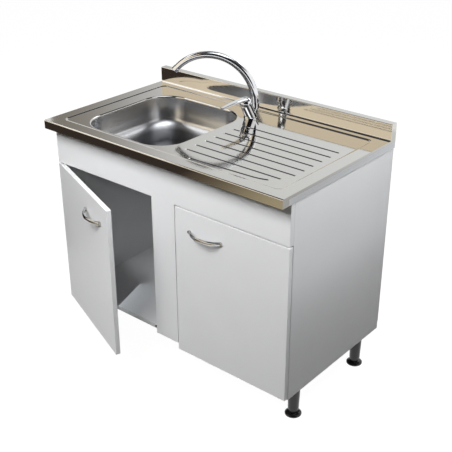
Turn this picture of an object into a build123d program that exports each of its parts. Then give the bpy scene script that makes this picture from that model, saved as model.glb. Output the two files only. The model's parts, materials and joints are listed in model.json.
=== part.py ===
from build123d import *
import os
from math import atan2, cos, degrees, radians, sin

# Kitchen sink unit: a lay-on pressed steel sink top on a two-door base cabinet with four legs.
# Millimetres, +Z up. The origin lies on the floor, under the middle of the worktop.
# The worktop's front edge faces -Y and its upstand stands against the wall, towards +Y.

os.makedirs("parts", exist_ok=True)

# ---- Worktop and bowl: driving dimensions --------------------------------------------------
WIDTH = 1000.0
DEPTH = 600.0
TOP = 850.0
LIP = 30.0
SHEET = 0.8
UPSTAND_RISE = 55.0
UPSTAND_DEPTH = 28.0
EDGE_R = 4.0
COVE_R = 5.0
FIELD_DROP = 2.5
FIELD_X = (-458.0, 456.0)
FIELD_Y = (-254.0, 242.0)
FIELD_R = 24.0
FOLD_W = 5.5
FOLD_R = 10.0
BOWL_X = (-402.0, 0.0)
BOWL_Y = (-243.0, 187.0)
BOWL_CORNER_R = 104.0
BOWL_DEPTH = 150.0
BOWL_DRAFT = 4.0
BOWL_FLOOR_R = 44.0
RIM_R = 6.0
GROOVE_PITCH = 45.7
GROOVE_COUNT = 7
GROOVE_W = 10.0
GROOVE_DROP = 2.0
GROOVE_TAPER = 60.0
GROOVE_X = (40.0, 427.0)
GROOVE_SHORT_X = 409.0
GROOVE_FIRST_Y = -187.3
BENT_GROOVE = ((104.0, -236.5), (330.0, -226.0), (381.0, -215.0))

# ---- Waste ---------------------------------------------------------------------------------
WASTE_HOLE_R = 45.0
WASTE_SEAT_R = 58.0
WASTE_SEAT_DROP = 3.0
OUTLET_R = 20.0
OUTLET_LENGTH = 48.0

# ---- Cabinet -------------------------------------------------------------------------------
CARCASS = 996.0
BOARD = 18.0
BACK_T = 3.0
DOOR_T = 16.0
FRONT_Y = -256.0
PANEL_FRONT_Y = FRONT_Y + BOARD
PANEL_REAR_Y = 295.0
SIDE_BOTTOM_Z = 137.0
FLOOR_Z = 165.0
RAIL_BOTTOM_Z = 684.0
FASCIA_TOP_Z = 832.0
STILE_W = 100.0
DOOR_BOTTOM_Z = 143.0
DOOR_TOP_Z = 680.0
DOOR_GAP = 2.0
REAR_RAIL_H = 100.0
BAND_CHAMFER = 0.8
SCREW_PLAY = 0.1
SERVICE_W = 420.0
SERVICE_H = 260.0
SERVICE_BOTTOM_Z = 480.0
SERVICE_R = 30.0

# ---- Concealed hinges, seen from above; distances out from the unit's centre plane ----------
ARM_PIN_X = 462.5
ARM_PIN_Y = -229.5
CUP_PIN_X = 488.0
CUP_PIN_Y = -243.5
LINK_SHARE = 0.42
LINK_BULGE = 6.0
LINK_T = 3.2
LINK_W = 10.0
EYE_R = 3.0
PIN_R = 1.5
PIN_PLAY = 0.05
CUP_R = 17.5
CUP_DEPTH = 11.5
CUP_WALL = 1.0
CUP_X = 476.0
HINGE_INSET = 100.0
PLATE_SCREW_Y = -201.0
LEFT_OPEN = 21.5

# ---- Handles -------------------------------------------------------------------------------
HANDLE_PITCH = 128.0
HANDLE_REACH = 28.0
HANDLE_X = 178.0
HANDLE_Z = 610.0
HANDLE_FOOT_R = 6.0

# ---- Legs ----------------------------------------------------------------------------------
LEG_X = 451.0
LEG_Y = (-137.0, 236.0)
LEG_TOP_R = 24.0
LEG_LOW_R = 18.0
LEG_LOW_Z = 22.0
LEG_FLANGE_R = 28.5
FOOT_R = 28.0
STEM_R = 14.0

# ---- Tap: hole in the deck, leaning housing, spout on its own vertical axis -------------------
TAP_X = 12.0
TAP_Y = 174.0
TAP_HOLE_R = 17.5
TAP_LEAN = 30.0
HOUSING_R = 20.5
HOUSING_LENGTH = 54.0
DOME_R = 19.0
SPOUT_OFFSET = 21.0
SPOUT_BEND_R = 155.0
SPOUT_TURN = 137.5
SPOUT_HEADING = 208.0
SPOUT_BASE_R = 14.0
SPOUT_TIP_R = 11.0
SPOUT_WALL = 1.5
SPIGOT_R = 10.5
LEVER_REACH = 124.0

SIDES = (("left", -1), ("right", 1))
FIELD_Z = TOP - FIELD_DROP
BOWL_FLOOR_Z = FIELD_Z - BOWL_DEPTH
BOWL_CENTRE = ((BOWL_X[0] + BOWL_X[1]) / 2, (BOWL_Y[0] + BOWL_Y[1]) / 2)


# ============================================================================================
# Sink top: one pressed sheet. Each face of the sheet is a form; the lower one is inset by the
# sheet's thickness, and the sheet is what lies between the two. The field, a little lower than the
# border, runs up to it in a soft fold.
# ============================================================================================
def bowl_form(grow):
    """The bowl's hollow, or with grow = SHEET its outside."""
    width = BOWL_X[1] - BOWL_X[0] - 2 * RIM_R + 2 * grow
    length = BOWL_Y[1] - BOWL_Y[0] - 2 * RIM_R + 2 * grow
    with BuildPart() as bowl:
        with BuildSketch(Plane.XY.offset(FIELD_Z)):
            with Locations(BOWL_CENTRE):
                RectangleRounded(width, length, BOWL_CORNER_R - RIM_R + grow)
        extrude(amount=-(BOWL_DEPTH + grow), taper=BOWL_DRAFT)
        fillet(bowl.faces().sort_by(Axis.Z)[0].edges(), BOWL_FLOOR_R + grow)
        with BuildSketch(Plane.XY.offset(BOWL_FLOOR_Z - grow)):
            with Locations(BOWL_CENTRE):
                Circle(WASTE_SEAT_R + grow)
        extrude(amount=-WASTE_SEAT_DROP)
    return bowl.part


def deck_form(inset):
    """The deck, lip and upstand seen from their upper face, or inset to their lower face."""
    front = -DEPTH / 2 + inset
    rear = DEPTH / 2 - inset
    step = DEPTH / 2 - UPSTAND_DEPTH + inset
    deck_z = TOP - inset
    crest_z = TOP + UPSTAND_RISE - inset
    bottom_z = TOP - LIP - inset
    half = WIDTH / 2 - inset
    outline = [(front, bottom_z), (front, deck_z), (step, deck_z), (step, crest_z),
               (rear, crest_z), (rear, bottom_z)]
    corner_radii = [0, EDGE_R - inset, COVE_R + inset, EDGE_R / 2 - inset, EDGE_R / 2 - inset, 0]
    with BuildPart() as deck:
        with BuildSketch(Plane.YZ.offset(-half)):
            with BuildLine():
                FilletPolyline(*outline, radius=corner_radii, close=True)
            make_face()
        extrude(amount=2 * half)
        field = Plane.XY.offset(deck_z)
        with BuildSketch(field):
            with Locations(((FIELD_X[0] + FIELD_X[1]) / 2, (FIELD_Y[0] + FIELD_Y[1]) / 2)):
                RectangleRounded(FIELD_X[1] - FIELD_X[0] + 2 * inset,
                                 FIELD_Y[1] - FIELD_Y[0] + 2 * inset, FIELD_R + inset)
        extrude(amount=-FIELD_DROP, taper=degrees(atan2(FOLD_W, FIELD_DROP)), mode=Mode.SUBTRACT)
        fillet(edges_at(deck.part, deck_z, FIELD_X, FIELD_Y), FOLD_R - inset)
        fillet(edges_at(deck.part, FIELD_Z - inset, FIELD_X, FIELD_Y), FOLD_R + inset)
        for row in range(GROOVE_COUNT):
            start, end = GROOVE_X
            if row == 0:
                end = GROOVE_SHORT_X
            with BuildSketch(Plane.XY.offset(FIELD_Z - inset)):
                with Locations(((start + end) / 2, GROOVE_FIRST_Y + row * GROOVE_PITCH)):
                    SlotOverall(end - start + 2 * inset, GROOVE_W + 2 * inset)
            extrude(amount=-GROOVE_DROP, taper=GROOVE_TAPER, mode=Mode.SUBTRACT)
        # The foremost groove turns back at its right end.
        with BuildSketch(Plane.XY.offset(FIELD_Z - inset)):
            with BuildLine():
                run = Line(BENT_GROOVE[0], BENT_GROOVE[1])
                TangentArc(BENT_GROOVE[1], BENT_GROOVE[2], tangent=run % 1)
                offset(amount=GROOVE_W / 2 + inset)
            make_face()
        extrude(amount=-GROOVE_DROP, taper=GROOVE_TAPER, mode=Mode.SUBTRACT)
    return deck.part


def edges_at(part, level, x_span, y_span):
    """The edges at one height whose middles lie in a rectangle seen from above."""
    return part.edges().filter_by(
        lambda edge: abs(edge.center().Z - level) < 0.05
        and x_span[0] - 1 < edge.center().X < x_span[1] + 1
        and y_span[0] - 1 < edge.center().Y < y_span[1] + 1
    )


with BuildPart() as upper_form:
    add(deck_form(0))
    add(bowl_form(SHEET))
    add(bowl_form(0), mode=Mode.SUBTRACT)
    fillet(edges_at(upper_form.part, FIELD_Z, BOWL_X, BOWL_Y), RIM_R)

with BuildPart() as lower_form:
    add(deck_form(SHEET))
    add(bowl_form(SHEET), mode=Mode.SUBTRACT)
    fillet(edges_at(lower_form.part, FIELD_Z - SHEET, BOWL_X, BOWL_Y), RIM_R - SHEET)

with BuildPart() as sink_top:
    add(upper_form.part)
    add(lower_form.part, mode=Mode.SUBTRACT)
    with BuildSketch(Plane.XY.offset(BOWL_FLOOR_Z - WASTE_SEAT_DROP - 2 * SHEET)):
        with Locations(BOWL_CENTRE):
            Circle(WASTE_HOLE_R)
    extrude(amount=4 * SHEET, mode=Mode.SUBTRACT)
    with BuildSketch(Plane.XY.offset(FIELD_Z)):
        with Locations((TAP_X, TAP_Y)):
            Circle(TAP_HOLE_R)
    extrude(amount=-2 * SHEET, mode=Mode.SUBTRACT)
sink_top.part.label = "sink_top"
export_step(sink_top.part, "parts/sink_top.step")


# ============================================================================================
# Waste: flange in the bowl's seat, lift-out basket, seal and cup below, outlet tail downwards
# ============================================================================================
SEAT_Z = BOWL_FLOOR_Z - WASTE_SEAT_DROP
SEAT_UNDER_Z = SEAT_Z - SHEET
FLANGE_R = 54.0
FLANGE_T = 1.5
WELL_R = 42.0
WELL_DEPTH = 24.0
WELL_WALL = 1.2
SEAL_T = 3.0
CUP_BODY_R = 55.0
CUP_BODY_WALL = 3.0
CUP_BODY_DEPTH = 34.0
BASKET_R = 40.6
BASKET_DEPTH = 20.0
BASKET_WALL = 1.2
KNOB_R = 9.0
WELL_HOLE_R = 5.0
BASKET_HOLE_R = 2.6
FUNNEL_H = 6.0
BRIDGE_W = 6.0
WASTE_SCREW_R = 3.0
WASTE_SCREW_HEAD_R = 6.0
WASTE_SCREW_HEAD_H = 3.0
CUP_FLOOR_Z = SEAT_UNDER_Z - SEAL_T - CUP_BODY_DEPTH
BOWL_X_MID, BOWL_Y_MID = BOWL_CENTRE
WASTE_PLANE = Plane(origin=(BOWL_X_MID, BOWL_Y_MID, 0), x_dir=(1, 0, 0), z_dir=(0, -1, 0))

with BuildPart() as waste_flange:
    with BuildSketch(WASTE_PLANE):
        with BuildLine():
            Polyline((WELL_R - WELL_WALL, SEAT_Z + FLANGE_T), (FLANGE_R - FLANGE_T, SEAT_Z + FLANGE_T),
                     (FLANGE_R, SEAT_Z), (WELL_R, SEAT_Z), (WELL_R, SEAT_Z - WELL_DEPTH),
                     (0, SEAT_Z - WELL_DEPTH), (0, SEAT_Z - WELL_DEPTH + WELL_WALL),
                     (WELL_R - WELL_WALL, SEAT_Z - WELL_DEPTH + WELL_WALL), close=True)
        make_face()
    revolve(axis=Axis((BOWL_X_MID, BOWL_Y_MID, 0), (0, 0, 1)))
    with BuildSketch(Plane.XY.offset(SEAT_Z - WELL_DEPTH)):
        with Locations(BOWL_CENTRE):
            with PolarLocations(0.62 * WELL_R, 8):
                Circle(WELL_HOLE_R)
            with PolarLocations(0.31 * WELL_R, 4):
                Circle(0.7 * WELL_HOLE_R)
            Circle(WASTE_SCREW_R + 0.2)
    extrude(amount=WELL_WALL, mode=Mode.SUBTRACT)
waste_flange.part.label = "waste_flange"
export_step(waste_flange.part, "parts/waste_flange.step")

with BuildPart() as waste_seal:
    with BuildSketch(Plane.XY.offset(SEAT_UNDER_Z)):
        with Locations(BOWL_CENTRE):
            Circle(CUP_BODY_R)
            Circle(WASTE_HOLE_R, mode=Mode.SUBTRACT)
    extrude(amount=-SEAL_T)
waste_seal.part.label = "waste_seal"
export_step(waste_seal.part, "parts/waste_seal.step")

with BuildPart() as waste_cup:
    with BuildSketch(WASTE_PLANE):
        inner_r = WASTE_HOLE_R
        rim_z = SEAT_UNDER_Z - SEAL_T
        neck_z = rim_z - 2 * CUP_BODY_WALL
        tail_z = CUP_FLOOR_Z - OUTLET_LENGTH
        with BuildLine():
            Polyline((inner_r, rim_z), (CUP_BODY_R, rim_z), (CUP_BODY_R, rim_z - CUP_BODY_WALL),
                     (inner_r + CUP_BODY_WALL, neck_z), (inner_r, CUP_FLOOR_Z + FUNNEL_H),
                     (OUTLET_R + 8, CUP_FLOOR_Z - 4), (OUTLET_R, CUP_FLOOR_Z - 8),
                     (OUTLET_R, tail_z), (OUTLET_R - CUP_BODY_WALL, tail_z),
                     (OUTLET_R - CUP_BODY_WALL, CUP_FLOOR_Z),
                     (inner_r - CUP_BODY_WALL, CUP_FLOOR_Z + FUNNEL_H + CUP_BODY_WALL),
                     (inner_r, neck_z), close=True)
        make_face()
    revolve(axis=Axis((BOWL_X_MID, BOWL_Y_MID, 0), (0, 0, 1)))
    with BuildSketch(Plane.XY.offset(CUP_FLOOR_Z - 8)):
        with Locations(BOWL_CENTRE):
            Rectangle(2 * OUTLET_R - 2, BRIDGE_W)
            Circle(WASTE_SCREW_R + BRIDGE_W / 2)
            Circle(WASTE_SCREW_R, mode=Mode.SUBTRACT)
    extrude(amount=10)
waste_cup.part.label = "waste_cup"
export_step(waste_cup.part, "parts/waste_cup.step")

# One screw through the well's floor draws the cup up against its seal.
WELL_FLOOR_Z = SEAT_Z - WELL_DEPTH + WELL_WALL
with BuildPart() as waste_screw:
    with BuildSketch(Plane.XY.offset(WELL_FLOOR_Z)):
        with Locations(BOWL_CENTRE):
            Circle(WASTE_SCREW_HEAD_R)
    extrude(amount=WASTE_SCREW_HEAD_H)
    with BuildSketch(Plane.XY.offset(WELL_FLOOR_Z)):
        with Locations(BOWL_CENTRE):
            Circle(WASTE_SCREW_R - 0.05)
    extrude(amount=CUP_FLOOR_Z - 12 - WELL_FLOOR_Z)
    with BuildSketch(Plane.XY.offset(WELL_FLOOR_Z + WASTE_SCREW_HEAD_H)):
        with Locations(BOWL_CENTRE):
            Rectangle(2 * WASTE_SCREW_HEAD_R + 2, 1.6)
    extrude(amount=-WASTE_SCREW_HEAD_H / 2, mode=Mode.SUBTRACT)
waste_screw.part.label = "waste_screw"
export_step(waste_screw.part, "parts/waste_screw.step")

# The basket hangs by its rim on the flange and lifts straight out.
BASKET_RIM_Z = SEAT_Z + FLANGE_T
with BuildPart() as strainer_basket:
    with BuildSketch(WASTE_PLANE):
        floor_z = BASKET_RIM_Z - BASKET_DEPTH
        with BuildLine():
            Polyline((0, floor_z), (BASKET_R - 5, floor_z), (BASKET_R - 0.8, floor_z + 7),
                     (BASKET_R - 0.8, BASKET_RIM_Z), (BASKET_R + 4, BASKET_RIM_Z),
                     (BASKET_R + 4, BASKET_RIM_Z + BASKET_WALL), (BASKET_R - 2, BASKET_RIM_Z + BASKET_WALL),
                     (BASKET_R - 2, floor_z + 7.5), (BASKET_R - 6, floor_z + BASKET_WALL),
                     (KNOB_R / 2, floor_z + BASKET_WALL), (KNOB_R / 2, BASKET_RIM_Z - 4),
                     (KNOB_R, BASKET_RIM_Z - 2), (KNOB_R, BASKET_RIM_Z + 2), (KNOB_R - 3, BASKET_RIM_Z + 4),
                     (0, BASKET_RIM_Z + 4), close=True)
        make_face()
    revolve(axis=Axis((BOWL_X_MID, BOWL_Y_MID, 0), (0, 0, 1)))
    with BuildSketch(Plane.XY.offset(floor_z - 1)):
        with Locations(BOWL_CENTRE):
            with PolarLocations(0.69 * BASKET_R, 16):
                Circle(BASKET_HOLE_R)
            with PolarLocations(0.44 * BASKET_R, 10):
                Circle(BASKET_HOLE_R)
    extrude(amount=BASKET_WALL + 2, mode=Mode.SUBTRACT)
strainer_basket.part.label = "strainer_basket"
export_step(strainer_basket.part, "parts/strainer_basket.step")


# ============================================================================================
# Carcass
# ============================================================================================
OUTER_X = CARCASS / 2
INNER_X = OUTER_X - BOARD
DECK_UNDER_Z = TOP - SHEET
FIELD_UNDER_Z = FIELD_Z - SHEET

HINGE_LEVELS = (("bottom", DOOR_BOTTOM_Z + HINGE_INSET), ("top", DOOR_TOP_Z - HINGE_INSET))
PLATE_SCREW_GAP = 32.0
PLATE_SCREW_R = 1.9
PLATE_SCREW_LENGTH = 11.0
PLATE_SCREW_HEAD_H = 1.8


def inner_face(sign, level):
    """Plane on a side panel's inner face at a hinge: x to the rear, normal into the cabinet."""
    return Plane(origin=(sign * INNER_X, 0, level), x_dir=(0, 1, 0), z_dir=(-sign, 0, 0))


for side, sign in SIDES:
    with BuildPart() as side_panel:
        with Locations((sign * (OUTER_X - BOARD / 2), (PANEL_FRONT_Y + PANEL_REAR_Y) / 2,
                        (SIDE_BOTTOM_Z + DECK_UNDER_Z) / 2)):
            Box(BOARD, PANEL_REAR_Y - PANEL_FRONT_Y, DECK_UNDER_Z - SIDE_BOTTOM_Z)
        chamfer(side_panel.edges(), BAND_CHAMFER)
        for _, level in HINGE_LEVELS:
            with BuildSketch(inner_face(sign, level)):
                with Locations((PLATE_SCREW_Y, 0)):
                    with GridLocations(1, PLATE_SCREW_GAP, 1, 2):
                        Circle(PLATE_SCREW_R + SCREW_PLAY)
            extrude(amount=-PLATE_SCREW_LENGTH - 1, mode=Mode.SUBTRACT)
    side_panel.part.label = f"side_panel_{side}"
    export_step(side_panel.part, f"parts/side_panel_{side}.step")

LEG_SCREW_R = 1.9
LEG_SCREW_PITCH = 42.0
LEG_SCREW_DEPTH = 12.0
LEG_SPOTS = [(sign * LEG_X, y) for y in LEG_Y for _, sign in SIDES]

with BuildPart() as bottom_panel:
    with Locations((0, (PANEL_FRONT_Y + PANEL_REAR_Y) / 2, FLOOR_Z + BOARD / 2)):
        Box(2 * INNER_X, PANEL_REAR_Y - PANEL_FRONT_Y, BOARD)
    chamfer(bottom_panel.edges(), BAND_CHAMFER)
    with BuildSketch(Plane.XY.offset(FLOOR_Z)):
        with Locations(*LEG_SPOTS):
            with GridLocations(LEG_SCREW_PITCH, LEG_SCREW_PITCH, 2, 2):
                Circle(LEG_SCREW_R + SCREW_PLAY)
    extrude(amount=LEG_SCREW_DEPTH, mode=Mode.SUBTRACT)
bottom_panel.part.label = "bottom_panel"
export_step(bottom_panel.part, "parts/bottom_panel.step")

# The thin back is nailed on the rear edges and leaves an opening for the pipes.
with BuildPart() as back_panel:
    with BuildSketch(Plane.XZ.offset(-PANEL_REAR_Y)):
        with Locations((0, (FLOOR_Z + DECK_UNDER_Z) / 2)):
            Rectangle(CARCASS - 2, DECK_UNDER_Z - FLOOR_Z)
        with Locations((0, SERVICE_BOTTOM_Z + SERVICE_H / 2)):
            RectangleRounded(SERVICE_W, SERVICE_H, SERVICE_R, mode=Mode.SUBTRACT)
    extrude(amount=-BACK_T)
back_panel.part.label = "back_panel"
export_step(back_panel.part, "parts/back_panel.step")

with BuildPart() as rear_rail:
    with Locations((0, PANEL_REAR_Y - BOARD / 2, DECK_UNDER_Z - REAR_RAIL_H / 2)):
        Box(2 * INNER_X, BOARD, REAR_RAIL_H)
    chamfer(rear_rail.edges(), BAND_CHAMFER)
rear_rail.part.label = "rear_rail"
export_step(rear_rail.part, "parts/rear_rail.step")

# One T-shaped board: the fixed rail over both doors and the stile between them.
with BuildPart() as front_fascia:
    with BuildSketch(Plane.XZ.offset(-PANEL_FRONT_Y)):
        with BuildLine():
            Polyline((-OUTER_X, FASCIA_TOP_Z), (OUTER_X, FASCIA_TOP_Z), (OUTER_X, RAIL_BOTTOM_Z),
                     (STILE_W / 2, RAIL_BOTTOM_Z), (STILE_W / 2, FLOOR_Z), (-STILE_W / 2, FLOOR_Z),
                     (-STILE_W / 2, RAIL_BOTTOM_Z), (-OUTER_X, RAIL_BOTTOM_Z), close=True)
        make_face()
    extrude(amount=BOARD)
    chamfer(front_fascia.edges(), BAND_CHAMFER)
front_fascia.part.label = "front_fascia"
export_step(front_fascia.part, "parts/front_fascia.step")

# Plastic corner blocks tie the side panels to the fascia, and the side panels to the rear rail.
BLOCK = 34.0
BLOCK_H = 30.0
BLOCK_LIP = 5.0
BLOCK_TOP_Z = FASCIA_TOP_Z - 20
with BuildPart() as corner_blocks:
    with BuildSketch(Plane.XY.offset(BLOCK_TOP_Z)):
        for _, sign in SIDES:
            for y, inward in ((PANEL_FRONT_Y, 1), (PANEL_REAR_Y - BOARD, -1)):
                with BuildLine():
                    Polyline((sign * INNER_X, y), (sign * (INNER_X - BLOCK), y),
                             (sign * (INNER_X - BLOCK), y + inward * BLOCK_LIP),
                             (sign * (INNER_X - BLOCK_LIP), y + inward * BLOCK),
                             (sign * INNER_X, y + inward * BLOCK), close=True)
                make_face()
    extrude(amount=-BLOCK_H)
corner_blocks.part.label = "corner_blocks"
export_step(corner_blocks.part, "parts/corner_blocks.step")

# ============================================================================================
# Legs and feet
# ============================================================================================
LEG_NAMES = [(f"{row}_{side}", sign * LEG_X, y)
             for row, y in zip(("front", "rear"), LEG_Y) for side, sign in SIDES]
FLANGE_THICK = 4.0
LUG_R = 4.6
LEG_CUFF_H = 8.0
LEG_WAIST_Z = 90.0
LEG_SHOULDER_Z = FLOOR_Z - 14
FOOT_RIM_H = 5.0
FOOT_NECK_Z = 13.0
STEM_TOP_Z = 74.0
BORE_TOP_Z = 80.0

for spot, x, y in LEG_NAMES:
    upright = Plane(origin=(x, y, 0), x_dir=(1, 0, 0), z_dir=(0, -1, 0))
    cuff_top = (LEG_LOW_R + 0.6, LEG_LOW_Z + LEG_CUFF_H)
    with BuildPart() as leg:
        with BuildSketch(upright):
            with BuildLine():
                Polyline((STEM_R + PIN_PLAY, LEG_LOW_Z), (LEG_LOW_R, LEG_LOW_Z), cuff_top)
                Spline(cuff_top, (LEG_LOW_R + 2.4, LEG_WAIST_Z), (LEG_TOP_R, LEG_SHOULDER_Z),
                       tangents=((0, 1), (0.25, 1)))
                Polyline((LEG_TOP_R, LEG_SHOULDER_Z), (LEG_TOP_R + 1, FLOOR_Z - FLANGE_THICK),
                         (LEG_FLANGE_R, FLOOR_Z - FLANGE_THICK), (LEG_FLANGE_R, FLOOR_Z), (0, FLOOR_Z),
                         (0, BORE_TOP_Z), (STEM_R + PIN_PLAY, BORE_TOP_Z), (STEM_R + PIN_PLAY, LEG_LOW_Z))
            make_face()
        revolve(axis=Axis((x, y, 0), (0, 0, 1)))
        with BuildSketch(Plane.XY.offset(FLOOR_Z - FLANGE_THICK)):
            with Locations((x, y)):
                with GridLocations(LEG_SCREW_PITCH, LEG_SCREW_PITCH, 2, 2):
                    Circle(LUG_R)
        extrude(amount=FLANGE_THICK)
        with BuildSketch(Plane.XY.offset(FLOOR_Z - FLANGE_THICK)):
            with Locations((x, y)):
                with GridLocations(LEG_SCREW_PITCH, LEG_SCREW_PITCH, 2, 2):
                    Circle(LEG_SCREW_R + SCREW_PLAY)
        extrude(amount=FLANGE_THICK, mode=Mode.SUBTRACT)
    leg.part.label = f"leg_{spot}"
    export_step(leg.part, f"parts/leg_{spot}.step")

    # The foot's stem screws up into the leg; its collar stops at the leg's lower end.
    with BuildPart() as foot:
        with BuildSketch(upright):
            with BuildLine():
                Polyline((0, 0), (FOOT_R - 1.5, 0), (FOOT_R, 1.5), (FOOT_R, FOOT_RIM_H))
                ThreePointArc((FOOT_R, FOOT_RIM_H), (FOOT_R - 5, FOOT_NECK_Z - 3.4),
                              (LEG_LOW_R - 2, FOOT_NECK_Z))
                Polyline((LEG_LOW_R - 2, FOOT_NECK_Z), (LEG_LOW_R - 1, LEG_LOW_Z - 0.3),
                         (STEM_R, LEG_LOW_Z - 0.3), (STEM_R, STEM_TOP_Z - 1), (STEM_R - 1, STEM_TOP_Z),
                         (0, STEM_TOP_Z), (0, 0))
            make_face()
        revolve(axis=Axis((x, y, 0), (0, 0, 1)))
    foot.part.label = f"foot_{spot}"
    export_step(foot.part, f"parts/foot_{spot}.step")

SCREW_HEAD_R = 3.8
SCREW_HEAD_H = 2.2
with BuildPart() as leg_screws:
    with BuildSketch(Plane.XY.offset(FLOOR_Z - FLANGE_THICK)):
        with Locations(*LEG_SPOTS):
            with GridLocations(LEG_SCREW_PITCH, LEG_SCREW_PITCH, 2, 2):
                Circle(SCREW_HEAD_R)
    extrude(amount=-SCREW_HEAD_H)
    with BuildSketch(Plane.XY.offset(FLOOR_Z - FLANGE_THICK)):
        with Locations(*LEG_SPOTS):
            with GridLocations(LEG_SCREW_PITCH, LEG_SCREW_PITCH, 2, 2):
                Circle(LEG_SCREW_R)
    extrude(amount=FLANGE_THICK + LEG_SCREW_DEPTH - 1)
leg_screws.part.label = "leg_screws"
export_step(leg_screws.part, "parts/leg_screws.step")

# ============================================================================================
# Doors, handles and concealed hinges. Each door is drawn in its own leaf frame: origin at the
# cup pin, x towards the free edge, z up. `face` is +1 where the leaf's y runs to the rear.
# ============================================================================================
PIN_SPAN_X = CUP_PIN_X - ARM_PIN_X
PIN_SPAN_Y = CUP_PIN_Y - ARM_PIN_Y
LINK_LENGTH = (PIN_SPAN_X ** 2 + PIN_SPAN_Y ** 2) ** 0.5
OUTER_EDGE = CUP_PIN_X - OUTER_X
FREE_EDGE = CUP_PIN_X - STILE_W / 2 - DOOR_GAP
BACK_OFF = PANEL_FRONT_Y - DOOR_GAP - CUP_PIN_Y
FRONT_OFF = FRONT_Y - CUP_PIN_Y
CUP_OFF = CUP_PIN_X - CUP_X
HANDLE_OFF = CUP_PIN_X - HANDLE_X
HANDLE_BAR_H = 6.8
HANDLE_BAR_T = 3.3
HANDLE_END_REACH = 1.5
HANDLE_SCREW_R = 2.0
HANDLE_FOOT_H = 6.0
CUP_BORE_PLAY = 0.1
CUP_FLANGE_W = 20.0
CUP_FLANGE_H = 62.0
CUP_FLANGE_T = 1.2
LINK_KNEE = 7.5
ARM_D = INNER_X - ARM_PIN_X
ARM_W = 17.0
ARM_FOOT_D = 5.2
ARM_REAR_D = 13.0
ARM_REAR_Y = -172.0
ARM_NECK_D = 15.5
ARM_NECK_Y = -214.0
CHEEK_R = 4.2
PLATE_T = 2.0
PLATE_W = 14.0
PLATE_H = 48.0
RAIL_T = 5.0
RAIL_W = 12.0
RAIL_LENGTH = 46.0
RAIL_Y = -197.0


def link_heading(sign, opened):
    """Direction from the arm pin to the cup pin, in degrees, with the door opened that far."""
    return degrees(atan2(PIN_SPAN_Y, sign * PIN_SPAN_X)) - sign * LINK_SHARE * opened


def cup_pin_place(sign, opened):
    heading = radians(link_heading(sign, opened))
    return sign * ARM_PIN_X + LINK_LENGTH * cos(heading), ARM_PIN_Y + LINK_LENGTH * sin(heading)


def leaf_plane(sign, opened):
    pin_x, pin_y = cup_pin_place(sign, opened)
    turn = radians(opened)
    return Plane(origin=(pin_x, pin_y, 0), x_dir=(-sign * cos(turn), -sin(turn), 0), z_dir=(0, 0, 1))


def on_leaf(leaf, x, y, z, rearward):
    """Plane on the door: origin at that leaf point, x along the door, normal to the rear."""
    return Plane(origin=leaf.from_local_coords(Vector(x, y, z)), x_dir=leaf.x_dir,
                 z_dir=leaf.y_dir * rearward)


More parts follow.
